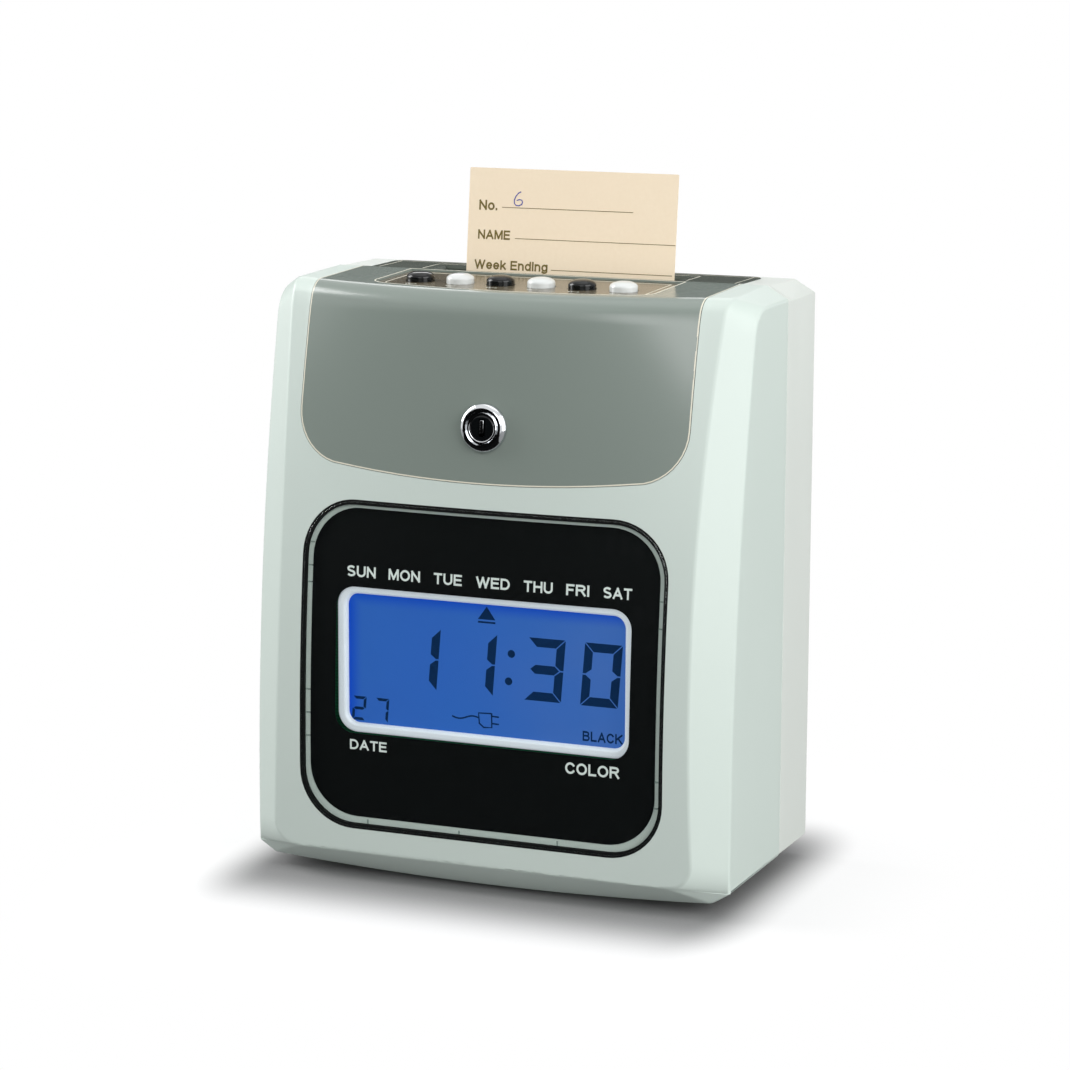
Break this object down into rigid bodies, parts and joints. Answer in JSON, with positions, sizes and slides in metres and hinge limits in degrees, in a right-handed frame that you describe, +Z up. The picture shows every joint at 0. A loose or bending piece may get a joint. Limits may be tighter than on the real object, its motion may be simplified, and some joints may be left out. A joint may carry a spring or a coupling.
{
  "type": "time clock",
  "caption": "Electronic time clock with top card slot, six keys, keyed drop-front cover, blue clock display and card printer inside.",
  "frame": {"origin": "middle of the footprint on the table, under the rubber feet", "axes": "+X right as seen from the front, -Y to the front, +Z up"},
  "size_m": [0.194, 0.104, 0.2678],
  "materials": {
    "cover_plastic": "smooth moulded ABS, pale grey green",
    "case_plastic": "fine textured ABS",
    "fascia_plastic": "glossy dark grey overlay",
    "deck_plastic": "satin dark grey ABS",
    "lens_clear": "clear acrylic with a black print behind it",
    "bezel_plastic": "white ABS",
    "lcd": "blue negative liquid crystal cell",
    "tinplate": "tinned steel can",
    "board": "green solder resist on glass laminate",
    "black_plastic": "black moulded plastic",
    "white_key": "white key cap",
    "black_key": "black key cap",
    "chrome": "polished chrome plate",
    "zinc_steel": "bright zinc plated steel",
    "rubber": "moulded rubber",
    "acetal": "natural acetal",
    "brass": "turned brass",
    "ribbon": "inked woven nylon",
    "knob_blue": "blue moulded knob",
    "battery_wrap": "shrink wrapped cells",
    "card_stock": "cream card stock"
  },
  "bodies": {
    "base": {"rear_case": "case_plastic", "rear_deck": "deck_plastic", "base_plate": "zinc_steel", "rubber_feet": "rubber", "hinge_pins": "zinc_steel", "case_screws": "zinc_steel", "side_frame_left": "zinc_steel", "side_frame_right": "zinc_steel", "card_guide_front": "black_plastic", "card_guide_rear": "black_plastic", "card_stop": "zinc_steel", "platen": "rubber", "platen_bar": "zinc_steel", "guide_shaft": "zinc_steel", "carriage_motor": "tinplate", "feed_motor": "tinplate", "ribbon_cartridge": "black_plastic", "ink_ribbon": "ribbon", "strike_bracket": "zinc_steel", "main_board": "board", "board_parts": "black_plastic", "backup_battery": "battery_wrap", "dc_inlet": "black_plastic", "buzzer": "black_plastic"},
    "cover": {"front_cover": "cover_plastic", "fascia": "fascia_plastic", "display_lens": "lens_clear", "display_bezel": "bezel_plastic", "display_glass": "lcd", "display_module": "tinplate", "display_board": "board", "switch_board": "board", "key_switches": "black_plastic", "cover_screws": "zinc_steel", "lock_barrel": "chrome", "lock_nut": "zinc_steel"},
    "lock": {"lock_plug": "chrome", "lock_cam": "zinc_steel"},
    "key_1": {"key_1": "black_key"},
    "key_2": {"key_2": "white_key"},
    "key_3": {"key_3": "black_key"},
    "key_4": {"key_4": "white_key"},
    "key_5": {"key_5": "black_key"},
    "key_6": {"key_6": "white_key"},
    "carriage": {"print_carriage": "black_plastic", "print_head": "tinplate"},
    "lead_screw": {"lead_screw": "zinc_steel", "lead_gear": "acetal"},
    "carriage_pinion": {"carriage_pinion": "brass"},
    "feed_shaft": {"feed_shaft": "zinc_steel", "feed_tyres": "rubber", "feed_gear": "acetal"},
    "feed_pinion": {"feed_pinion": "brass"},
    "pinch_rollers": {"pinch_rollers": "black_plastic"},
    "ribbon_knob": {"ribbon_knob": "knob_blue"},
    "time_card": {"time_card": "card_stock"}
  },
  "joints": [
    {"name": "cover_hinge", "type": "hinge", "parent": "base", "child": "cover", "pos_m": [0, -0.04, 0.0105], "axis": [1, 0, 0], "range_deg": [0, 55]},
    {"name": "lock_turn", "type": "hinge", "parent": "cover", "child": "lock", "pos_m": [0, -0.04569, 0.178], "axis": [0, -0.9954, 0.0959], "range_deg": [0, 90]},
    {"name": "key_1_press", "type": "slide", "parent": "cover", "child": "key_1", "axis": [0, -0.0279, 0.9996], "range_m": [-0.0012, 0], "stiffness_N_per_m": 300, "springref_m": 0.002},
    {"name": "key_2_press", "type": "slide", "parent": "cover", "child": "key_2", "axis": [0, -0.0279, 0.9996], "range_m": [-0.0012, 0], "stiffness_N_per_m": 300, "springref_m": 0.002},
    {"name": "key_3_press", "type": "slide", "parent": "cover", "child": "key_3", "axis": [0, -0.0279, 0.9996], "range_m": [-0.0012, 0], "stiffness_N_per_m": 300, "springref_m": 0.002},
    {"name": "key_4_press", "type": "slide", "parent": "cover", "child": "key_4", "axis": [0, -0.0279, 0.9996], "range_m": [-0.0012, 0], "stiffness_N_per_m": 300, "springref_m": 0.002},
    {"name": "key_5_press", "type": "slide", "parent": "cover", "child": "key_5", "axis": [0, -0.0279, 0.9996], "range_m": [-0.0012, 0], "stiffness_N_per_m": 300, "springref_m": 0.002},
    {"name": "key_6_press", "type": "slide", "parent": "cover", "child": "key_6", "axis": [0, -0.0279, 0.9996], "range_m": [-0.0012, 0], "stiffness_N_per_m": 300, "springref_m": 0.002},
    {"name": "carriage_slide", "type": "slide", "parent": "base", "child": "carriage", "axis": [1, 0, 0], "range_m": [-0.03, 0.042]},
    {"name": "lead_screw_turn", "type": "hinge", "parent": "base", "child": "lead_screw", "pos_m": [0, -0.0038, 0.16435], "axis": [1, 0, 0], "range_deg": [-905, 1265]},
    {"name": "carriage_pinion_turn", "type": "hinge", "parent": "base", "child": "carriage_pinion", "pos_m": [0, -0.01693, 0.15371], "axis": [1, 0, 0], "range_deg": [-3155, 2255]},
    {"name": "feed_turn", "type": "hinge", "parent": "base", "child": "feed_shaft", "pos_m": [0, 0.00157, 0.10345], "axis": [1, 0, 0], "continuous": true},
    {"name": "feed_pinion_turn", "type": "hinge", "parent": "base", "child": "feed_pinion", "pos_m": [0, -0.01156, 0.09282], "axis": [1, 0, 0], "continuous": true},
    {"name": "pinch_turn", "type": "hinge", "parent": "base", "child": "pinch_rollers", "pos_m": [0, 0.0145, 0.10209], "axis": [1, 0, 0], "continuous": true},
    {"name": "ribbon_knob_turn", "type": "hinge", "parent": "base", "child": "ribbon_knob", "pos_m": [0.045, -0.00877, 0.18397], "axis": [0, -0.9945, 0.1045], "continuous": true},
    {"name": "card_slide", "type": "slide", "parent": "base", "child": "time_card", "axis": [0, 0.1045, 0.9945], "range_m": [-0.012, 0.15]}
  ],
  "couplings": [
    {"joint": "lead_screw_turn", "follows": "carriage_slide", "rad_per_m": 523.6},
    {"joint": "carriage_pinion_turn", "follows": "carriage_slide", "rad_per_m": -1309},
    {"joint": "feed_pinion_turn", "follows": "feed_turn", "ratio": -2.5},
    {"joint": "pinch_turn", "follows": "feed_turn", "ratio": -1.4}
  ]
}
